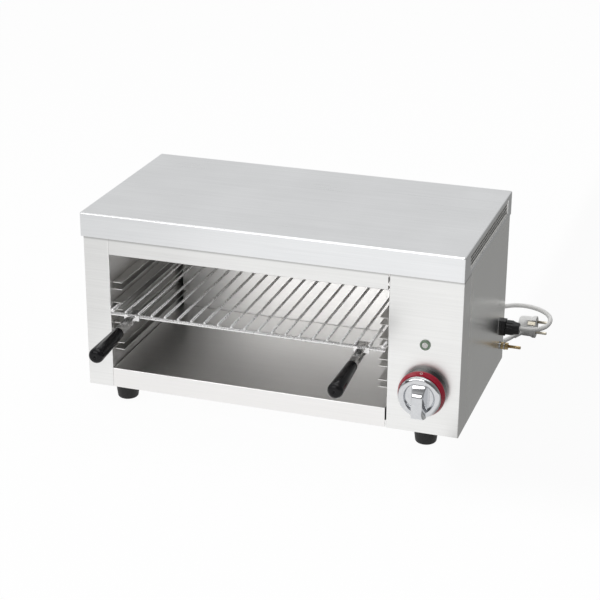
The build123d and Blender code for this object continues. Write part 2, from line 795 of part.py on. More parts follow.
for side, direction in (("left", -1), ("right", 1)):
    plate = Plane(origin=(direction * inner_half, 0, 0), x_dir=(0, direction, 0), z_dir=(direction, 0, 0))
    window_width = vent_rear_y - vent_front_y
    window_height = vent_high_z - vent_low_z
    window_centre = (direction * (vent_front_y + vent_rear_y) / 2, (vent_low_z + vent_high_z) / 2)
    plate_low = vent_notch_z + seam
    plate_high = body_top
    with BuildPart() as vent_mesh:
        with BuildSketch(plate):
            with Locations((window_centre[0], (plate_low + plate_high) / 2)):
                Rectangle(window_width + 2 * vent_margin - 2 * seam, plate_high - plate_low)
            with Locations(window_centre):
                gap_width = (window_width - 2 * vent_frame - (vent_columns + 1) * vent_web) / vent_columns
                gap_height = (window_height - 2 * vent_frame - (vent_rows + 1) * vent_web) / vent_rows
                with GridLocations(gap_width + vent_web, gap_height + vent_web, vent_columns, vent_rows):
                    Rectangle(gap_width, gap_height, mode=Mode.SUBTRACT)
        extrude(amount=sheet)
        with BuildSketch(plate.offset(sheet)):
            with Locations(window_centre):
                Rectangle(window_width - 2 * seam, window_height - 2 * seam)
                Rectangle(window_width - 2 * vent_frame, window_height - 2 * vent_frame, mode=Mode.SUBTRACT)
        extrude(amount=vent_frame_depth)
    write(f"vent_mesh_{side}", vent_mesh)

for name, x, y in (
    ("foot_front_left", -foot_x, foot_front_y),
    ("foot_front_right", foot_x, foot_front_y),
    ("foot_rear_left", -foot_x, foot_rear_y),
    ("foot_rear_right", foot_x, foot_rear_y),
):
    with BuildPart() as foot:
        with BuildSketch(Plane(origin=(x, y, 0), x_dir=(1, 0, 0), z_dir=(0, -1, 0))):
            with BuildLine():
                FilletPolyline(
                    (foot_screw_radius + seam, 0),
                    (foot_top_radius, 0),
                    (foot_low_radius, -foot_height),
                    (foot_well_radius, -foot_height),
                    (foot_well_radius, -foot_height + foot_well_depth),
                    (foot_screw_radius + seam, -foot_height + foot_well_depth),
                    radius=(0.6, foot_edge, 0.6, 0),
                )
                Line((foot_screw_radius + seam, -foot_height + foot_well_depth), (foot_screw_radius + seam, 0))
            make_face()
        revolve(axis=Axis((x, y, 0), (0, 0, 1)))
    write(name, foot)

with BuildPart() as foot_screws:
    for x in (-foot_x, foot_x):
        for y in (foot_front_y, foot_rear_y):
            head_z = -foot_height + foot_well_depth - 0.1
            with BuildSketch(Plane(origin=(x, y, head_z), x_dir=(1, 0, 0), z_dir=(0, 0, -1))):
                Circle(foot_screw_head)
            extrude(amount=3, taper=15)
            with BuildSketch(Plane(origin=(x, y, head_z))):
                Circle(foot_screw_radius)
            extrude(amount=-head_z + 8)
write("foot_screws", foot_screws)

with BuildPart() as foot_nuts:
    for x in (-foot_x, foot_x):
        for y in (foot_front_y, foot_rear_y):
            with BuildSketch(Plane(origin=(x, y, sheet + 0.1))):
                RegularPolygon(4.6, 6)
                Circle(foot_screw_radius + 0.1, mode=Mode.SUBTRACT)
            extrude(amount=4)
write("foot_nuts", foot_nuts)


def rear_screws_at(face_y, places):
    """Put a pan head screw through the rear sheets at each (x, z)."""
    for x, z in places:
        with BuildSketch(Plane(origin=(x, face_y, z), x_dir=(-1, 0, 0), z_dir=(0, 1, 0))) as head:
            Circle(screw_head_radius)
        extrude(head.sketch, amount=screw_head_height, taper=12)
        with BuildSketch(Plane(origin=(x, face_y, z), x_dir=(1, 0, 0), z_dir=(0, -1, 0))) as shank:
            Circle(screw_radius)
        extrude(shank.sketch, amount=screw_length)


with BuildPart() as cover_screws:
    rear_screws_at(cover_depth / 2 + 0.1, [(x, lip_low_z + 9) for x in cover_screw_xs])
write("cover_screws", cover_screws)

with BuildPart() as casing_screws:
    rear_screws_at(body_rear + 0.1, [(x, tray_flange / 2 + 1) for x in rear_screw_xs])
write("casing_screws", casing_screws)

# Gland, bonding stud and terminal block

with BuildPart() as gland_body:
    with BuildSketch(Plane.YZ.offset(body_half + 0.1)):
        with Locations((gland_y, gland_z)):
            RegularPolygon(gland_base_flats / 2, 6, major_radius=False)
    extrude(amount=gland_base_length - 0.2)
    with BuildSketch(Plane.YZ.offset(body_half + 0.1)):
        with Locations((gland_y, gland_z)):
            Circle(gland_thread_radius)
    extrude(amount=-11)
write("gland_body", gland_body)

with BuildPart() as gland_cap:
    cap_x = body_half + gland_base_length
    with BuildSketch(Plane(origin=(cap_x, gland_y, gland_z), x_dir=(1, 0, 0), z_dir=(0, -1, 0))):
        with BuildLine():
            FilletPolyline(
                (0, 0),
                (0, gland_cap_radius),
                (gland_cap_length * 0.55, gland_cap_radius),
                (gland_cap_length, gland_cap_radius - gland_cap_taper),
                (gland_cap_length, cord_radius + 0.1),
                (gland_cap_length - cord_socket, cord_radius + 0.1),
                (gland_cap_length - cord_socket, 0),
                radius=(1, 4, 2.4, 0.4, 0),
            )
            Line((gland_cap_length - cord_socket, 0), (0, 0))
        make_face()
    revolve(axis=Axis((cap_x, gland_y, gland_z), (1, 0, 0)))
write("gland_cap", gland_cap)

with BuildPart() as gland_locknut:
    with BuildSketch(Plane.YZ.offset(inner_half - 0.1)):
        with Locations((gland_y, gland_z)):
            RegularPolygon(gland_nut_flats / 2, 6, major_radius=False)
            Circle(gland_thread_radius + 0.1, mode=Mode.SUBTRACT)
    extrude(amount=-gland_nut_length)
write("gland_locknut", gland_locknut)

# The stud has the core radius of its thread where the nuts sit, and the full radius on its free end
outer_stack = stud_washer_length + stud_nut_length + 0.2
outer_washer_xs = [body_half + 0.1, body_half + outer_stack + 0.1]
outer_nut_xs = [x + stud_washer_length + 0.1 for x in outer_washer_xs]
inner_washer_x = inner_half - 0.1 - stud_washer_length
inner_nut_x = inner_washer_x - 0.1 - stud_nut_length
stud_free_x = body_half + 2 * outer_stack + 0.2

with BuildPart() as bonding_stud:
    with BuildSketch(Plane.YZ.offset(body_half - stud_inner)):
        with Locations((stud_y, stud_z)):
            Circle(stud_core_radius)
    extrude(amount=stud_free_x - body_half + stud_inner)
    with BuildSketch(Plane.YZ.offset(stud_free_x)):
        with Locations((stud_y, stud_z)):
            Circle(stud_radius)
    extrude(amount=body_half + stud_reach - stud_free_x)
    chamfer(bonding_stud.faces().sort_by(Axis.X)[-1].edges(), length=0.6)
write("bonding_stud", bonding_stud)

with BuildPart() as bonding_washers:
    for washer_x in (*outer_washer_xs, inner_washer_x):
        with BuildSketch(Plane.YZ.offset(washer_x)):
            with Locations((stud_y, stud_z)):
                Circle(stud_washer_radius)
                Circle(stud_radius, mode=Mode.SUBTRACT)
        extrude(amount=stud_washer_length)
write("bonding_washers", bonding_washers)

with BuildPart() as bonding_nuts:
    for nut_x in (*outer_nut_xs, inner_nut_x):
        with BuildSketch(Plane.YZ.offset(nut_x)):
            with Locations((stud_y, stud_z)):
                RegularPolygon(stud_nut_flats / 2, 6, major_radius=False)
                Circle(stud_radius, mode=Mode.SUBTRACT)
        extrude(amount=stud_nut_length)
write("bonding_nuts", bonding_nuts)

with BuildPart() as terminal_block:
    block((knob_x - 22, terminal_y - 9, sheet + 0.1), (knob_x + 22, terminal_y + 9, sheet + 5))
    for pole in (-14, 0, 14):
        block((knob_x + pole - 5, terminal_y - 9, sheet + 5), (knob_x + pole + 5, terminal_y + 9, sheet + 17))
    with BuildSketch(Plane.XZ.offset(-terminal_y)):
        with Locations(*[(knob_x + pole, sheet + 10) for pole in (-14, 0, 14)]):
            Circle(2.2)
    extrude(amount=20, both=True, mode=Mode.SUBTRACT)
write("terminal_block", terminal_block)

# Supply cord


def path_length(path):
    """Add up the lengths of a path's edges."""
    return sum(edge.length for edge in path.line.edges())


def coil_point(turned_angle, half_angle, layer_angle):
    """Place and direction of the coil's centre line after it has turned by an angle in radians."""
    into = min(turned_angle, layer_angle)
    out = max(turned_angle - layer_angle - pi, 0)
    reach = coil_outer_radius - coil_pitch * (into - out) / (2 * pi)
    change = -coil_pitch / (2 * pi) if turned_angle < layer_angle else 0
    if turned_angle > layer_angle + half_angle:
        change = coil_pitch / (2 * pi)
    step = min(max((turned_angle - layer_angle) / half_angle, 0), 1)
    height = cord_floor_z + coil_layer_step * (1 + cos(pi * step)) / 2
    fall = -coil_layer_step * pi / half_angle * sin(pi * step) / 2 if 0 < step < 1 else 0
    angle = radians(coil_start_angle) + turned_angle
    place = Vector(coil_x + reach * cos(angle), coil_y + reach * sin(angle), height)
    way = Vector(change * cos(angle) - reach * sin(angle), change * sin(angle) + reach * cos(angle), fall)
    return place, way.normalized()


def biarc(start, start_way, end, end_way):
    """Join two places by two arcs that share their tangent."""
    span = end - start
    both = start_way + end_way
    open_angle = 2 * (1 - start_way.dot(end_way))
    reach = (sqrt(span.dot(both) ** 2 + open_angle * span.dot(span)) - span.dot(both)) / open_angle
    joint = (start + end + (start_way - end_way) * reach) / 2
    TangentArc(start, joint, tangent=start_way)
    TangentArc(joint, end, tangent=(end - end_way * reach - joint).normalized())


coil_turned = radians(coil_end_angle - coil_start_angle) + 2 * pi * coil_whole_turns
layer_turned = (coil_turned - pi) / 2
coil_nodes = [coil_point(coil_turned * k / coil_segments, pi, layer_turned) for k in range(coil_segments + 1)]
coil_in, coil_in_way = coil_nodes[0]
coil_out, coil_out_way = coil_nodes[-1]

with BuildPart() as cord_coil:
    with BuildLine() as coil_path:
        Line(coil_in - coil_in_way * cord_diameter, coil_in)
        for (start, start_way), (end, end_way) in zip(coil_nodes, coil_nodes[1:]):
            biarc(start, start_way, end, end_way)
        Line(coil_out, coil_out + coil_out_way * cord_diameter)
    with BuildSketch(Plane(origin=coil_path.line @ 0, z_dir=coil_path.line % 0)):
        Circle(cord_radius)
    sweep(path=coil_path.line)
write("cord_coil", cord_coil)

coil_samples = [coil_path.line @ (k / 900) for k in range(901)]
apart = 60
coil_gap = min((a - b).length for k, a in enumerate(coil_samples) for b in coil_samples[k + apart:]) - cord_diameter
print("coil length", round(path_length(coil_path), 1), "least gap to itself", round(coil_gap, 2))
print("coil volume against section times length", round(cord_coil.part.volume / (pi * cord_radius**2 * path_length(coil_path)), 4))


def cord_tube(points):
    """Sweep the cord along straight runs joined by arcs as large as the runs allow."""
    radii = []
    for before, here, after in zip(points, points[1:], points[2:]):
        run = min((here - before).length, (after - here).length)
        turn = radians((here - before).get_angle(after - here))
        radii.append(0.45 * run / tan(turn / 2))
    with BuildLine() as path:
        FilletPolyline(*points, radius=radii)
    with BuildSketch(Plane(origin=path.line @ 0, z_dir=path.line % 0)) as section:
        Circle(cord_radius)
    tube = sweep(section.sketch, path=path.line)
    print("tube length", round(path_length(path), 1), "radii", [round(radius, 1) for radius in radii])
    print("volume against section times length", round(tube.volume / (pi * cord_radius**2 * path_length(path)), 4))


lead_start = coil_in - coil_in_way * cord_diameter
with BuildPart() as supply_cord:
    cord_tube(
        [
            Vector(gland_end_x - cord_socket, gland_y, gland_z),
            Vector(gland_end_x + 12.4, gland_y, gland_z),
            rear_corner + Vector(58, -12, gland_z),
            rear_corner + Vector(71, 5, gland_z - 0.5),
            rear_corner + Vector(73, 28, gland_z - 1.5),
            rear_corner + Vector(61, 52, gland_z - 3.5),
            rear_corner + Vector(37, 76, gland_z - 6.5),
            rear_corner + Vector(6, 97, gland_z - 13.5),
            rear_corner + Vector(-28, 111, gland_z - 25.5),
            rear_corner + Vector(-60, 119, floor_z + 45),
            rear_corner + Vector(-86, 122, floor_z + 29),
            rear_corner + Vector(-110, 122.5, floor_z + 16),
            lead_start - coil_in_way * 16,
            lead_start,
        ]
    )
write("supply_cord", supply_cord)

spigot_way = Vector(
    cos(radians(spigot_angle)) * cos(radians(spigot_slope)),
    sin(radians(spigot_angle)) * cos(radians(spigot_slope)),
    -sin(radians(spigot_slope)),
)
plug_centre = Vector(plug_x, plug_y, floor_z + plug_radius)
spigot_end = plug_centre + spigot_way * (spigot_length + 4)

with BuildPart() as plug_lead:
    cord_tube(
        [
            coil_out + coil_out_way * cord_diameter,
            coil_out + coil_out_way * (cord_diameter + 14),
            rear_corner + Vector(-91, 54.5, cord_floor_z),
            rear_corner + Vector(-64, 69, cord_floor_z),
            rear_corner + Vector(-38, 88, cord_floor_z),
            spigot_end + spigot_way * 14,
            spigot_end,
        ]
    )
write("plug_lead", plug_lead)

plug_axis = Axis(plug_centre, (1, 0, 0))
roll = radians(plug_roll)
across = Vector(0, sin(roll), cos(roll))
clip_way = Vector(0, -cos(roll), sin(roll))
front_x = plug_x + plug_length / 2

with BuildPart() as plug_body:
    with BuildSketch(Plane(origin=plug_centre, x_dir=(1, 0, 0), z_dir=(0, -1, 0))):
        with BuildLine():
            FilletPolyline(
                (-plug_length / 2, 0),
                (-plug_length / 2, plug_radius - 3),
                (-plug_length / 2 + 8, plug_radius - plug_waist),
                (plug_length / 2 - 9, plug_radius - plug_waist),
                (plug_length / 2 - 5, plug_radius),
                (plug_length / 2, plug_radius),
                (plug_length / 2, 0),
                radius=(4, 6, 3, 3, 1),
            )
            Line((plug_length / 2, 0), (-plug_length / 2, 0))
        make_face()
    revolve(axis=plug_axis)
    with BuildSketch(Plane(origin=plug_centre + spigot_way * 8, z_dir=spigot_way)):
        Circle(spigot_root_radius)
    with BuildSketch(Plane(origin=spigot_end, z_dir=spigot_way)):
        Circle(spigot_tip_radius)
    loft()
    for clip_side in (-1, 1):
        notch = Plane(origin=Vector(front_x, plug_y, plug_centre.Z) + clip_way * (plug_radius * clip_side), x_dir=across, z_dir=(-1, 0, 0))
        with BuildSketch(notch):
            Rectangle(earth_width + 4, 7)
        extrude(amount=14, mode=Mode.SUBTRACT)
write("plug_body", plug_body)

with BuildPart() as plug_contacts:
    for pin_side in (-1, 1):
        pin_origin = Vector(front_x + 0.1, plug_y, plug_centre.Z) + across * (pin_side * pin_pitch / 2)
        with BuildSketch(Plane(origin=pin_origin, z_dir=(1, 0, 0))):
            Circle(pin_radius)
        extrude(amount=pin_length)
    fillet(plug_contacts.faces().group_by(Axis.X)[-1].edges(), radius=1.2)
    for clip_side in (-1, 1):
        strip_origin = Vector(front_x - 0.2, plug_y, plug_centre.Z) + clip_way * ((plug_radius - 2.6) * clip_side)
        with BuildSketch(Plane(origin=strip_origin, x_dir=across, z_dir=(-1, 0, 0))):
            Rectangle(earth_width, 1.6)
        extrude(amount=13)
write("plug_contacts", plug_contacts)
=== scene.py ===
import bmesh
import bpy
import json
import math
from mathutils import Matrix, Vector

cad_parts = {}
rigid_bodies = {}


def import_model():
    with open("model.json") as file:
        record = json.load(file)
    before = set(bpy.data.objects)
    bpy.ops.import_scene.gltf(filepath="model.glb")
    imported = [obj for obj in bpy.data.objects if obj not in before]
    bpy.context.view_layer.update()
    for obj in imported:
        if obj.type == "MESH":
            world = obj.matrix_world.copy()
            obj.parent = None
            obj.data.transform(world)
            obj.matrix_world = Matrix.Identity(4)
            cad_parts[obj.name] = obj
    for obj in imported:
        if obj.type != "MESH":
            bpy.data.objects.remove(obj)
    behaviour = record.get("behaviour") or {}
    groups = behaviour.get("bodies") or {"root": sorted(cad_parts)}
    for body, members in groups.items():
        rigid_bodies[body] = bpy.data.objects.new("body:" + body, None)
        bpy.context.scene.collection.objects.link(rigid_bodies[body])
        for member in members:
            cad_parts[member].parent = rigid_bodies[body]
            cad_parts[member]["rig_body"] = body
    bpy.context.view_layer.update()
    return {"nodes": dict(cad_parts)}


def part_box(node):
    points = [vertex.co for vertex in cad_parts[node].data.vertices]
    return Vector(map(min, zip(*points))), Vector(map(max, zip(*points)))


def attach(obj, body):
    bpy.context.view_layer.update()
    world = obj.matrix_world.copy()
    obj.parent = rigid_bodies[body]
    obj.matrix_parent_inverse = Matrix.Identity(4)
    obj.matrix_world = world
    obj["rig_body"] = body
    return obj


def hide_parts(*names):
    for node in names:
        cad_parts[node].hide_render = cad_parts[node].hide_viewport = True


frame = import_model()
nodes = frame["nodes"]
scene = bpy.context.scene
mm = 0.001


def link(name, mesh):
    piece = bpy.data.objects.new(name, mesh)
    scene.collection.objects.link(piece)
    return piece


# the camera stands where the photograph was taken from

camera = {"place": (0.7756, -2.33725, 1.12457), "turn": 18.348, "height": 22.145, "roll": 0.321,
          "lens": 100.67, "sensor": 36.0}


def makeCamera():
    turn, height, roll = (math.radians(camera[key]) for key in ("turn", "height", "roll"))
    back = Vector((math.sin(turn) * math.cos(height), -math.cos(turn) * math.cos(height), math.sin(height)))
    right = Vector((math.cos(turn), math.sin(turn), 0))
    up = back.cross(right)
    data = bpy.data.cameras.new("photoCamera")
    data.lens, data.sensor_width = camera["lens"], camera["sensor"]
    eye = link("photoCamera", data)
    axes = (right * math.cos(roll) + up * math.sin(roll), up * math.cos(roll) - right * math.sin(roll), back)
    eye.matrix_world = Matrix.Translation(camera["place"]) @ Matrix(axes).transposed().to_4x4()
    scene.camera = eye


makeCamera()
print("camera stands")


class Value:  # a socket that takes part in sums
    def __init__(self, owner, socket):
        self.owner, self.socket = owner, socket

    def maths(self, operation, *others):
        return self.owner.node("ShaderNodeMath", {"operation": operation}, dict(enumerate(others)))

    def __add__(self, other):
        return self.maths("ADD", self, other)

    def __radd__(self, other):
        return self.maths("ADD", other, self)

    def __sub__(self, other):
        return self.maths("SUBTRACT", self, other)

    def __rsub__(self, other):
        return self.maths("SUBTRACT", other, self)

    def __mul__(self, other):
        return self.maths("MULTIPLY", self, other)

    def __rmul__(self, other):
        return self.maths("MULTIPLY", other, self)

    def ranged(self, span, first, last, blend="SMOOTHSTEP"):  # first below the span, last above it
        inputs = {"Value": self, "From Min": span[0], "From Max": span[1], "To Min": first, "To Max": last}
        return self.owner.node("ShaderNodeMapRange", {"interpolation_type": blend}, inputs)

    def over(self, low, high):  # 0 below low, 1 above high
        return self.ranged((low, high), 0, 1)


class Shader:  # a node tree
    def __init__(self, tree):
        self.tree = tree

    def node(self, kind, settings, inputs, output=0):
        made = self.tree.nodes.new(kind)
        for key, value in settings.items():
            setattr(made, key, value)
        for key, value in inputs.items():
            self.feed(made.inputs[key], value)
        return Value(self, made.outputs[output])

    def feed(self, socket, value):
        if isinstance(value, Value):
            self.tree.links.new(value.socket, socket)
        elif hasattr(value, "__len__") and len(value) == 3 and socket.type == "RGBA":
            socket.default_value = (*value, 1)
        else:
            socket.default_value = value

    def ray(self, kind):  # 1 for rays of this kind
        return self.node("ShaderNodeLightPath", {}, {}, f"Is {kind} Ray")


class Finish(Shader):  # one material and its nodes
    def __init__(self, name):
        self.material = bpy.data.materials.new(name)
        self.material.use_nodes = True
        super().__init__(self.material.node_tree)
        self.surface = self.tree.nodes["Principled BSDF"]
        self.place = self.node("ShaderNodeTexCoord", {}, {}, "Object")

    def scaled(self, *sizes):
        return self.node("ShaderNodeVectorMath", {"operation": "MULTIPLY"}, {0: self.place, 1: sizes})

    def axis(self, letter):
        return self.node("ShaderNodeSeparateXYZ", {}, {0: self.place}, letter)

    def noise(self, vector, scale, detail=3.0, roughness=0.55):
        inputs = {"Vector": vector, "Scale": scale, "Detail": detail, "Roughness": roughness}
        return self.node("ShaderNodeTexNoise", {}, inputs, "Fac")

    def mixed(self, factor, first, second):
        return self.node("ShaderNodeMix", {"data_type": "RGBA"}, {0: factor, 6: first, 7: second}, 2)

    def bump(self, height, strength, distance):
        return self.node("ShaderNodeBump", {}, {"Height": height, "Strength": strength, "Distance": distance})

    def wear(self, **sockets):
        for key, value in sockets.items():
            self.feed(self.surface.inputs[key.replace("_", " ")], value)
        return self.material


# finishes

steel = {"colour": (0.93, 0.93, 0.92), "dull": (0.84, 0.84, 0.83), "rough": 0.30, "spread": 0.10, "metal": 1.0,
         "along": 10.0, "across": 1100.0, "wide": 260.0, "grain": 0.05}


def brushed(name, grain, settings=steel, heat=None, paintedShade=None):
    finish = Finish(name)
    sizes = [settings["along"] if letter in grain else settings["across"] for letter in "XYZ"]
    wide = [settings["along"] / 3 if letter in grain else settings["wide"] for letter in "XYZ"]
    fine = finish.noise(finish.scaled(*sizes), 1.0, 2.0)
    broad = finish.noise(finish.scaled(*wide), 1.0, 3.0)
    cloud = finish.noise(finish.place, 7.0, 3.0)
    streak = fine * 0.55 + broad * 0.45
    shade = streak.over(0.30, 0.70) * 0.7 + cloud.over(0.35, 0.7) * 0.3
    colour = finish.mixed(shade, settings["dull"], settings["colour"])
    if heat:
        warmth = finish.axis("Z").over(*heat["band"]) * finish.noise(finish.place, 9.0, 4.0).over(0.3, 0.75)
        colour = finish.mixed(warmth * heat["share"], colour, heat["colour"])
    # a darker band of height just below the lip: painted shade, where the lip's shadow falls
    if paintedShade:
        height = finish.axis("Z")
        line = height.over(*paintedShade["from"]) * (1 - height.over(*paintedShade["to"]))
        colour = finish.mixed(line * paintedShade["share"], colour, paintedShade["colour"])
    rough = settings["rough"] + (streak - 0.5) * settings["spread"] + (cloud - 0.5) * settings["spread"]
    return finish.wear(Base_Color=colour, Roughness=rough, Metallic=settings["metal"],
                       Normal=finish.bump(streak, settings["grain"], 0.0004))


chamberSteel = dict(steel, colour=(0.95, 0.945, 0.935), dull=(0.88, 0.875, 0.865), rough=0.38)
floorSteel = dict(steel, colour=(0.95, 0.94, 0.93), dull=(0.90, 0.89, 0.88), rough=0.38)
guideSteel = dict(steel, colour=(0.88, 0.875, 0.86), dull=(0.76, 0.755, 0.74), rough=0.30)
zincSteel = dict(steel, colour=(0.66, 0.67, 0.68), dull=(0.55, 0.56, 0.57), rough=0.32, along=400.0, across=400.0)
heatTint = {"band": (0.19, 0.27), "share": 0.22, "colour": (0.55, 0.47, 0.38)}
# a painted shade line under the cover's lip, where the lip's shadow falls on the front panel
paintedShadeUnderLip = {"from": (0.2425, 0.2462), "to": (0.249, 0.252), "share": 0.62, "colour": (0.30, 0.30, 0.295)}

wireFinish = {"colour": (0.95, 0.95, 0.95), "dull": (0.86, 0.855, 0.85), "rough": 0.24}
sheathFinish = {"colour": (0.13, 0.115, 0.105), "tint": (0.24, 0.17, 0.13)}
knobFinish = {"colour": (0.70, 0.71, 0.72), "rough": 0.06}
brassFinish = {"colour": (0.72, 0.56, 0.30), "dull": (0.55, 0.40, 0.20)}
lensLook = {"deep": (0.66, 0.65, 0.64), "bright": (0.86, 0.86, 0.84), "rough": 0.08, "coat": 0.6}


def plainMetal(name, settings, scale=220.0, metal=1.0):
    finish = Finish(name)
    cloud = finish.noise(finish.place, scale, 4.0)
    spots = finish.noise(finish.place, scale / 8, 2.0)
    shade = cloud.over(0.3, 0.75) * 0.6 + spots.over(0.35, 0.7) * 0.4
    colour = finish.mixed(shade, settings.get("dull", settings["colour"]), settings["colour"])
    rough = settings["rough"] + shade * 0.08
    return finish.wear(Base_Color=colour, Roughness=rough, Metallic=metal, Normal=finish.bump(cloud, 0.04, 0.0003))


def plastic(name, colour, worn, rough, grainSize, grain, coat=0.0, shine=0.5):
    finish = Finish(name)
    finish.surface.inputs["Specular IOR Level"].default_value = shine
    fine = finish.noise(finish.place, grainSize, 3.0)
    cloud = finish.noise(finish.place, 30.0, 3.0)
    shade = cloud.over(0.35, 0.75)
    return finish.wear(Base_Color=finish.mixed(shade, colour, worn), Roughness=rough + shade * 0.08,
                       Coat_Weight=coat, Normal=finish.bump(fine, grain, 0.0003))


def sheathMetal():
    finish = Finish("elementSheath")
    bands = finish.noise(finish.scaled(26.0, 90.0, 90.0), 1.0, 4.0)
    colour = finish.mixed(bands.over(0.35, 0.7), sheathFinish["colour"], sheathFinish["tint"])
    return finish.wear(Base_Color=colour, Roughness=0.55 + bands * 0.2, Metallic=0.6,
                       Normal=finish.bump(finish.noise(finish.place, 900.0), 0.15, 0.0004))


def lensFinish():
    finish = Finish("lampLens")
    facet = finish.noise(finish.place, 420.0, 1.0)
    colour = finish.mixed(facet.over(0.4, 0.6), lensLook["deep"], lensLook["bright"])
    return finish.wear(Base_Color=colour, Roughness=lensLook["rough"], Coat_Weight=lensLook["coat"],
                       Normal=finish.bump(facet, 0.3, 0.0006))


finishes = {
    "topSteel": brushed("topSteel", "X", dict(steel, colour=(0.92, 0.93, 0.94), dull=(0.83, 0.84, 0.85))),
    "frontSteel": brushed("frontSteel", "X", steel, paintedShade=paintedShadeUnderLip),
    "sideSteel": brushed("sideSteel", "XY", dict(steel, rough=0.24)),
    "chamberSteel": brushed("chamberSteel", "XY", chamberSteel, heatTint),
    "floorSteel": brushed("floorSteel", "X", floorSteel),
    "guideSteel": brushed("guideSteel", "Y", guideSteel),
    "zincSteel": brushed("zincSteel", "", zincSteel),
    "wire": plainMetal("wire", wireFinish),
    "sheath": sheathMetal(),
    "gripBlack": plastic("gripBlack", (0.006, 0.006, 0.007), (0.011, 0.011, 0.012), 0.10, 700.0, 0.05, 0.0, 0.2),
    "ringBlack": plastic("ringBlack", (0.010, 0.011, 0.012), (0.018, 0.018, 0.019), 0.22, 700.0, 0.05, 0.05, 0.3),
    "ringRed": plastic("ringRed", (0.40, 0.006, 0.030), (0.34, 0.006, 0.026), 0.28, 700.0, 0.04, 0.05, 0.3),
    "markPale": plastic("markPale", (0.80, 0.66, 0.66), (0.74, 0.60, 0.60), 0.4, 700.0, 0.03),
    "knobChrome": plainMetal("knobChrome", dict(knobFinish, dull=(0.62, 0.63, 0.65)), 300.0),
    "mouldedBlack": plastic("mouldedBlack", (0.022, 0.022, 0.023), (0.034, 0.034, 0.035),
                            0.34, 1500.0, 0.25, 0.0, 0.35),
    "lampGreen": plastic("lampGreen", (0.16, 0.24, 0.16), (0.21, 0.29, 0.20), 0.20, 700.0, 0.04, 0.4),
    "lampLens": lensFinish(),
    "rubber": plastic("rubber", (0.018, 0.018, 0.018), (0.026, 0.026, 0.026), 0.5, 1200.0, 0.3, 0.0, 0.3),
    "brass": plainMetal("brass", dict(brassFinish, rough=0.24)),
    "plugWhite": plastic("plugWhite", (0.80, 0.80, 0.79), (0.74, 0.74, 0.725), 0.36, 900.0, 0.08),
    "cordWhite": plastic("cordWhite", (0.80, 0.80, 0.785), (0.74, 0.735, 0.72), 0.45, 1400.0, 0.12),
    "pinMetal": plainMetal("pinMetal", {"colour": (0.80, 0.76, 0.66), "dull": (0.70, 0.64, 0.52), "rough": 0.20}),
}

cadFinishes = {
    "topSteel": ["top_cover"],
    "frontSteel": ["control_casing", "header_panel", "left_casing"],
    "sideSteel": ["right_side_panel", "rear_casing", "base_tray"],
    "chamberSteel": ["cavity_left_wall", "cavity_right_wall", "cavity_back_wall", "heat_reflector"],
    "floorSteel": ["floor_pan"],
    "guideSteel": ["element_clips", "vent_mesh_left", "vent_mesh_right"]
    + [f"guide_{side}_{level}" for side in ("left", "right") for level in (1, 2, 3, 4)],
    "zincSteel": ["grip_screws", "knob_spindle", "regulator_screws", "foot_screws", "foot_nuts", "cover_screws",
                  "casing_screws", "bonding_washers"],
    "wire": ["wire_rack", "handle_bracket_left", "handle_bracket_right"],
    "sheath": ["heating_element_front", "heating_element_rear"],
    "gripBlack": ["handle_grip_left", "handle_grip_right"],
    "ringBlack": ["knob_base_ring"],
    "ringRed": ["dial_ring"],
    "knobChrome": ["knob"],
    "mouldedBlack": ["energy_regulator", "gland_body", "gland_cap", "gland_locknut"],
    "lampGreen": ["lamp_bezel"],
    "lampLens": ["lamp_lens"],
    "rubber": ["foot_front_left", "foot_front_right", "foot_rear_left", "foot_rear_right"],
    "brass": ["bonding_stud", "bonding_nuts"],
    "plugWhite": ["plug_body", "terminal_block"],
    "cordWhite": ["supply_cord", "cord_coil", "plug_lead"],
    "pinMetal": ["plug_contacts"],
}
cadFinish = {name: finish for finish, names in cadFinishes.items() for name in names}
for name, finish in cadFinish.items():
    mesh = nodes[name].data
    mesh.materials.clear()
    mesh.materials.append(finishes[finish])
print("finishes on the frame")


def settled(name, work, node, finish=None, sharp=32.0):  # a finished piece in the place of a node
    mesh = bpy.data.meshes.new(name)
    work.to_mesh(mesh)
    work.free()
    mesh.materials.append(finishes[finish or cadFinish[node]])
    mesh.shade_smooth()
    mesh.set_sharp_from_angle(angle=math.radians(sharp))
    piece = link(name, mesh)
    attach(piece, nodes[node]["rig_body"])
    return piece


def eased(piece, width, segments=3, limit=50.0):  # small rounded edges
    bevel = piece.modifiers.new("edges", "BEVEL")
    bevel.width, bevel.segments = width * mm, segments
    bevel.limit_method, bevel.angle_limit = "ANGLE", math.radians(limit)


def spun(profile, turn, steps=64):  # a profile of (radius, height) turned about Z, then put in place
    work = bmesh.new()
    made = [work.verts.new((radius * mm, 0, height * mm)) for radius, height in profile]
    edges = [work.edges.new(pair) for pair in zip(made, made[1:])]
    bmesh.ops.spin(work, geom=made + edges, cent=(0, 0, 0), axis=(0, 0, 1), angle=math.tau, steps=steps, use_merge=True)
    bmesh.ops.remove_doubles(work, verts=work.verts, dist=1e-6)
    bmesh.ops.recalc_face_normals(work, faces=work.faces)
    bmesh.ops.transform(work, matrix=turn, verts=work.verts)
    return work


def smoothed(node, sharp=32.0):  # the node's own shape with its curved faces shaded smooth
    work = bmesh.new()
    work.from_mesh(nodes[node].data)
    bmesh.ops.remove_doubles(work, verts=work.verts, dist=1e-7)
    piece = settled(node + "Dressed", work, node, sharp=sharp)
    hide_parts(node)
    return piece


for name in ("heating_element_front", "heating_element_rear", "wire_rack", "knob_base_ring", "lamp_bezel",
             "foot_front_left", "foot_front_right", "foot_rear_left", "foot_rear_right",
             "bonding_stud", "plug_body", "plug_contacts", "foot_screws",
             "cover_screws", "casing_screws", "regulator_screws", "bonding_washers"):
    smoothed(name)
print("curved faces smooth")

grip = {"rear": 8.75, "front": 11.75, "length": 86.0, "dimple": 1.7, "tilt": 3.0, "drop": 0.5, "edge": 0.8}


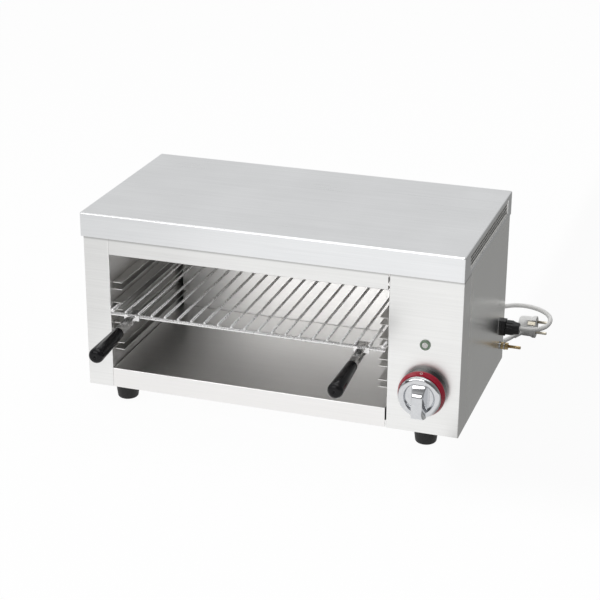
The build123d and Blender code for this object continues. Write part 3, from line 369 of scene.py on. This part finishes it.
def makeGrip(side):
    low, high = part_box(f"handle_grip_{side}")
    tilt = math.radians(grip["tilt"])
    forward = Vector((0, -math.cos(tilt), -math.sin(tilt)))
    tip = Vector(((low.x + high.x) / 2, low.y, 0))
    reach = grip["length"] * mm
    tip.z = low.z + grip["front"] * mm * math.cos(tilt) - grip["drop"] * mm
    start = tip - forward * reach
    profile = [(0, 0), (grip["rear"], 0), (grip["rear"] + 0.2, 6), (10.5, 45), (grip["front"], 78.5),
               (11.5, 81.0), (10.6, 83.3), (9.0, 85.0), (6.8, 85.9), (4.2, 86.1), (2.4, 85.9),
               (grip["dimple"], 85.2), (1.3, 84.4), (0, 84.2)]
    turn = Matrix.Translation(start) @ forward.to_track_quat("Z", "Y").to_matrix().to_4x4()
    piece = settled(f"grip_{side}", spun(profile, turn), f"handle_grip_{side}", sharp=50.0)
    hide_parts(f"handle_grip_{side}")
    eased(piece, grip["edge"])


for side in ("left", "right"):
    makeGrip(side)
print("grips turned")

knobShape = {"hub": 18.0, "centre": 70.0, "base": 24.0, "front": 16.6, "back": 1.0, "top": 18.5, "edge": 1.5,
             "rimAngle": 50.0, "rimWidth": 4.0, "rimAbove": 3.0,
             "disc": [(0, -18), (9, -18), (9, 0), (31.4, 0), (32.3, 0.4), (32.5, 1.4), (32.3, 3.0), (31.2, 4.6),
                      (29.2, 5.7), (26.8, 6.2), (24.6, 6.1), (23.4, 5.5), (22.9, 4.4), (22.6, 2.4), (21.6, 1.3),
                      (20.0, 1.0), (0, 1.0)],
             "side": [(-31.4, 1.0), (-32.6, 5.0), (-32.4, 9.5), (-30.6, 13.6), (-27.0, 16.6), (-21.0, 18.3),
                      (-12.0, 18.5), (4.0, 18.5), (8.6, 17.6), (12.0, 14.4), (18.0, 7.6), (21.5, 6.3), (27.0, 6.0),
                      (27.0, 1.0)]}


def panelTurn(x, y, z):  # local Z points out of the front panel, local Y up
    return Matrix.Translation((x, y, z)) @ Matrix.Rotation(math.radians(90), 4, "X")


def barWidth(height):  # the bar narrows towards its front
    share = (height / mm - knobShape["back"]) / (knobShape["top"] - knobShape["back"])
    return (knobShape["base"] + (knobShape["front"] - knobShape["base"]) * share) * mm


def isRim(edge):  # a sharp edge along the bar's outline, above the disc
    sharp = len(edge.link_faces) == 2 and edge.calc_face_angle(0) > math.radians(knobShape["rimAngle"])
    along = abs(edge.verts[0].co.x - edge.verts[1].co.x) < knobShape["rimWidth"] * mm
    return sharp and along and max(corner.co.z for corner in edge.verts) > knobShape["rimAbove"] * mm


def makeKnob():
    low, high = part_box("knob")
    turn = panelTurn((low.x + high.x) / 2, high.y - knobShape["hub"] * mm, knobShape["centre"] * mm)
    work = spun(knobShape["disc"], Matrix(), 96)  # the disc with its pockets, then the bar across it
    outline = [work.verts.new((0, up * mm, out * mm)) for up, out in knobShape["side"]]
    middle = work.faces.new(outline)
    slab = bmesh.ops.extrude_face_region(work, geom=[middle], use_keep_orig=True)["geom"]
    other = [part for part in slab if isinstance(part, bmesh.types.BMVert)]
    for corners, side in ((outline, -1), (other, 1)):
        for corner in corners:
            corner.co.x = side * barWidth(corner.co.z) / 2
    rims = [edge for edge in {edge for corner in outline + other for edge in corner.link_edges} if isRim(edge)]
    bmesh.ops.bevel(work, geom=rims, offset=knobShape["edge"] * mm, offset_type="OFFSET", segments=4, profile=0.5,
                    affect="EDGES", material=-1)
    bmesh.ops.recalc_face_normals(work, faces=work.faces)
    bmesh.ops.transform(work, matrix=turn, verts=work.verts)
    piece = settled("knobTurned", work, "knob", sharp=38.0)
    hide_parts("knob")


makeKnob()
print("knob shaped")

markShape = {"inner": 1.35, "outer": 2.2, "raise": 0.12, "sunk": 0.3, "back": 5.6, "radius": 34.85,
             "slope": 17.35}


def makeMark():  # the pale off mark on top of the red ring
    low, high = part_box("dial_ring")
    inner, outer, top, foot = markShape["inner"], markShape["outer"], markShape["raise"], -markShape["sunk"]
    ring = [(inner, foot), (outer, foot), (outer, top), (inner, top), (inner, foot)]
    place = Matrix.Translation(((low.x + high.x) / 2, high.y - markShape["back"] * mm,
                                (low.z + high.z) / 2 + markShape["radius"] * mm))
    turn = place @ Matrix.Rotation(math.radians(markShape["slope"]), 4, "X")
    settled("offMark", spun(ring, turn, 40), "dial_ring", "markPale")


makeMark()
print("mark set")

glandShape = {"ribs": 14, "rib": 0.5, "ribbed": (1.5, 12.5), "ribsFrom": 11.1, "flank": 2,
              "cap": [(0, 0), (10.9, 0), (11.5, 0.7), (11.6, 2.0), (11.6, 10.5), (11.3, 12.5), (10.2, 15.5),
                      (9.6, 20.4), (9.0, 21.6), (7.6, 22), (5.2, 22), (3.9, 21.2), (3.9, 14.0), (0, 14.0)]}


def makeGlandCap():
    low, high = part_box("gland_cap")
    work = spun(glandShape["cap"], Matrix(), 112)
    start, end = (height * mm for height in glandShape["ribbed"])
    for corner in work.verts:  # grip ribs along the cap
        reach = Vector(corner.co[:2]).length
        if glandShape["ribsFrom"] * mm < reach and start < corner.co.z < end:
            wave = math.cos(glandShape["ribs"] * math.atan2(corner.co.y, corner.co.x)) * glandShape["flank"]
            corner.co.xy *= 1 + glandShape["rib"] * mm * min(max(wave, -1), 1) / reach
    place = Matrix.Translation((low.x, (low.y + high.y) / 2, (low.z + high.z) / 2))
    turn = place @ Matrix.Rotation(math.radians(90), 4, "Y")
    bmesh.ops.transform(work, matrix=turn, verts=work.verts)
    piece = settled("glandCap", work, "gland_cap", sharp=40.0)
    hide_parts("gland_cap")


makeGlandCap()
print("gland cap ribbed")

lensShape = {"barrel": 7.9, "profile": [(0, -7.9), (4.8, -7.9), (4.8, 1.6), (4.5, 2.6), (3.7, 3.2), (3.0, 3.3),
                                        (2.6, 3.0), (2.1, 3.4), (0, 3.6)]}


def makeLens():
    low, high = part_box("lamp_lens")
    turn = panelTurn((low.x + high.x) / 2, high.y - lensShape["barrel"] * mm, (low.z + high.z) / 2)
    piece = settled("lensMoulded", spun(lensShape["profile"], turn, 16), "lamp_lens", sharp=20.0)
    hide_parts("lamp_lens")


makeLens()
print("lens moulded")

# the cord is one length from the gland to the plug

cordSizes = {"diameter": 7.4, "onFloor": -21.3, "turnsPitch": 9.2, "layerStep": 8.0, "coilPlace": (145.0, 232.0),
             "coilRadius": 49.5, "from": 90.0, "to": 300.0, "wholeTurns": 3, "perTurn": 16}


def coilPoint(turned, layerEnd):
    into, out = min(turned, layerEnd), max(turned - layerEnd - math.pi, 0)
    reach = cordSizes["coilRadius"] - cordSizes["turnsPitch"] * (into - out) / math.tau
    step = min(max((turned - layerEnd) / math.pi, 0), 1)
    height = cordSizes["onFloor"] + cordSizes["layerStep"] * (1 + math.cos(math.pi * step)) / 2
    angle = math.radians(cordSizes["from"]) + turned
    x, y = cordSizes["coilPlace"]
    return Vector((x + reach * math.cos(angle), y + reach * math.sin(angle), height))


def cordRoute():
    turned = math.radians(cordSizes["to"] - cordSizes["from"]) + math.tau * cordSizes["wholeTurns"]
    layerEnd = (turned - math.pi) / 2
    steps = round(cordSizes["perTurn"] * turned / math.tau)
    supply = [(319.6, 141.5, 61.5), (340, 141.5, 61.5), (356, 146, 62), (368.5, 162, 63), (370.5, 188, 65),
              (358, 212, 66), (334, 235, 63), (304, 256, 56), (271, 270, 43), (240, 279, 25), (214, 282, 4),
              (190, 282.5, -9), (168.4, 281.8, -13.2)]
    lead = [(188.2, 196.9, -21.3), (209, 214.5, -21.3), (236, 229, -21.3), (262, 248, -21.3),
            (284.2, 277.7, -19.2), (291.7, 288.9, -15.4)]
    coil = [coilPoint(turned * k / steps, layerEnd) for k in range(steps + 1)]
    return [Vector(point) * mm for point in supply + coil + lead]


def makeCord():
    line = bpy.data.curves.new("mainsCord", "CURVE")
    line.dimensions = "3D"
    spline = line.splines.new("NURBS")
    points = cordRoute()
    spline.points.add(len(points) - 1)
    for point, place in zip(spline.points, points):
        point.co = (*place, 1)
    spline.order_u = 3
    spline.use_endpoint_u = True
    spline.resolution_u = 6
    line.bevel_depth = cordSizes["diameter"] / 2 * mm
    line.bevel_resolution = 5
    line.use_fill_caps = True
    line.materials.append(finishes["cordWhite"])
    piece = link("mainsCord", line)
    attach(piece, "cabinet")
    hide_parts("supply_cord", "cord_coil", "plug_lead")


makeCord()
print("cord lies")

# light, floor and backdrop

softBoxes = {"frontBox": {"place": (-0.9, -2.6, 1.5), "aim": (0, 0, 0.1), "size": (2.4, 1.8), "power": 34.0},
             "topBox": {"place": (0.2, 0.3, 2.6), "aim": (0, 0, 0), "size": (2.6, 2.0), "power": 26.0}}


def makeSoftBox(name):
    box = softBoxes[name]
    data = bpy.data.lights.new(name, "AREA")
    data.shape, data.energy = "RECTANGLE", box["power"]
    data.size, data.size_y = box["size"]
    lamp = link(name, data)
    aim = Vector(box["aim"]) - Vector(box["place"])
    lamp.matrix_world = Matrix.Translation(box["place"]) @ aim.to_track_quat("-Z", "Y").to_matrix().to_4x4()


# how strongly the world shines: less to the right, and least behind the camera, so that chrome and gloss have
# something dark to show; the camera itself sees white
room = {"world": 0.67, "right": 0.27, "rightFrom": (0.15, 0.75), "front": 0.16, "frontFrom": (-0.75, -0.25)}


def makeWorld():
    world = bpy.data.worlds.new("studio")
    scene.world = world
    world.use_nodes = True
    sky = Shader(world.node_tree)
    place = sky.node("ShaderNodeTexCoord", {}, {}, "Generated")
    x, y = (sky.node("ShaderNodeSeparateXYZ", {}, {0: place}, letter) for letter in "XY")
    sideways = x.ranged(room["rightFrom"], room["world"], room["right"])
    lit = y.ranged(room["frontFrom"], room["front"], sideways)
    backdrop = sky.tree.nodes["Background"]
    sky.feed(backdrop.inputs["Color"], (1, 1, 1))
    sky.feed(backdrop.inputs["Strength"], sky.ray("Camera").ranged((0, 1), lit, 1, "LINEAR"))


paintedShadowPatch = {"X": (0.26, 0.31), "Y": (-0.34, -0.16)}
# dark and the patch colour below are the colours of the painted shadow patch behind the right side
floorLook = {"size": 6.0, "level": -0.025, "rough": 0.9, "shine": 0.1, "pale": (0.88, 0.88, 0.88),
             "dark": (0.16, 0.16, 0.16), "white": 0.96, "paintedShadow": (0.30, 0.30, 0.295),
             "leftFrom": (-0.50, -0.31), "left": 0.80}


def floorFinish():
    finish = Finish("paleFloor")
    # a darker patch on the floor behind the right side is painted shadow: it darkens the floor there and what that side
    # reflects
    paintedShadow = finish.axis("X").over(*paintedShadowPatch["X"]) * finish.axis("Y").over(*paintedShadowPatch["Y"])
    finish.surface.inputs["Specular IOR Level"].default_value = floorLook["shine"]
    finish.wear(Base_Color=finish.mixed(paintedShadow, floorLook["pale"], floorLook["dark"]), Roughness=floorLook["rough"])
    eye, metal = finish.ray("Camera"), finish.ray("Glossy")
    colour = finish.mixed(paintedShadow * metal, (1, 1, 1), floorLook["paintedShadow"])
    softer = finish.axis("X").ranged(floorLook["leftFrom"], floorLook["left"], 1, "LINEAR")  # so the left doesn't clip
    strength = metal.ranged((0, 1), 1, softer, "LINEAR")
    glow = finish.node("ShaderNodeEmission", {}, {"Color": colour, "Strength": strength})
    share = (eye + metal) * floorLook["white"]  # the camera and metal see it white
    bare = Value(finish, finish.surface.outputs[0])
    both = finish.node("ShaderNodeMixShader", {}, {0: share, 1: bare, 2: glow})
    finish.feed(finish.tree.nodes["Material Output"].inputs["Surface"], both)
    return finish.material


def makeFloor():
    work = bmesh.new()
    bmesh.ops.create_grid(work, x_segments=1, y_segments=1, size=floorLook["size"])
    bmesh.ops.translate(work, vec=(0, 0, floorLook["level"]), verts=work.verts)
    mesh = bpy.data.meshes.new("studioFloor")
    work.to_mesh(mesh)
    work.free()
    floor = link("studioFloor", mesh)
    mesh.materials.append(floorFinish())


for name in softBoxes:
    makeSoftBox(name)
makeWorld()
makeFloor()
scene.view_settings.view_transform = "Standard"
print("studio lit")
